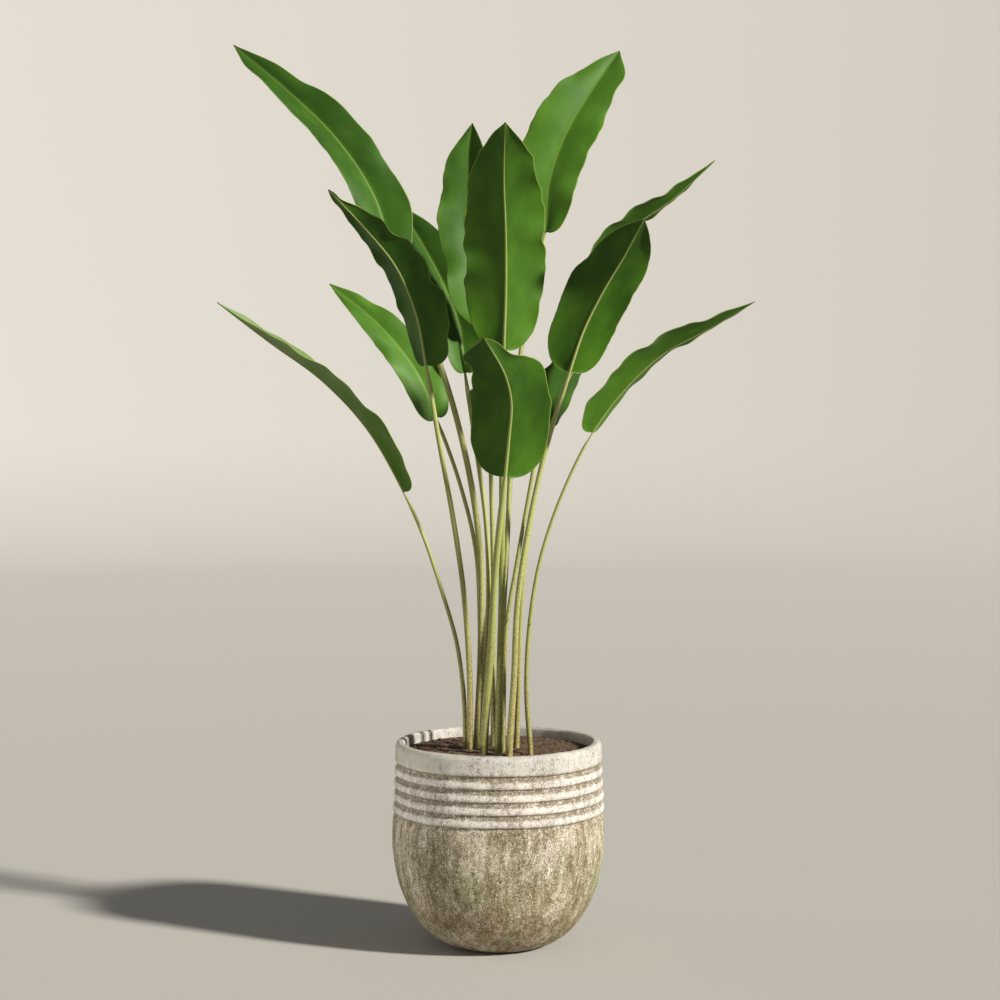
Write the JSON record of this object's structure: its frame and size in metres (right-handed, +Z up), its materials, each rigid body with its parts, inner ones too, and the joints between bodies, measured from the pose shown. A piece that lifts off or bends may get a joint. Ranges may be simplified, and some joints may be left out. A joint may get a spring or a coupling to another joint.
{
  "type": "potted bird of paradise",
  "caption": "Free-standing potted bird of paradise: long-stalked paddle-shaped leaves fan out of the soil of a round, ringed cast-stone planter.",
  "frame": {"origin": "middle of the pot's flat foot, on the surface that the pot stands on", "axes": "+Z up along the pot's axis and the plant's height; -Y towards the viewer of the front; +X to the viewer's right"},
  "size_m": [0.8811, 0.5748, 1.5362],
  "materials": {
    "cast_stone": "matte",
    "potting_soil": "matte",
    "leaf_stalk": "satin",
    "leaf_blade": "satin"
  },
  "bodies": {
    "root": {"pot": "cast_stone", "soil": "potting_soil", "stalk_top_left": "leaf_stalk", "blade_top_left": "leaf_blade", "stalk_top_right": "leaf_stalk", "blade_top_right": "leaf_blade", "stalk_front_centre": "leaf_stalk", "blade_front_centre": "leaf_blade", "stalk_back_centre": "leaf_stalk", "blade_back_centre": "leaf_blade", "stalk_front_left": "leaf_stalk", "blade_front_left": "leaf_blade", "stalk_back_left": "leaf_stalk", "blade_back_left": "leaf_blade", "stalk_low_back_left": "leaf_stalk", "blade_low_back_left": "leaf_blade", "stalk_far_left": "leaf_stalk", "blade_far_left": "leaf_blade", "stalk_front_low": "leaf_stalk", "blade_front_low": "leaf_blade", "stalk_front_right": "leaf_stalk", "blade_front_right": "leaf_blade", "stalk_back_right": "leaf_stalk", "blade_back_right": "leaf_blade", "stalk_far_right": "leaf_stalk", "blade_far_right": "leaf_blade", "stalk_inner_right": "leaf_stalk", "blade_inner_right": "leaf_blade"}
  },
  "joints": []
}
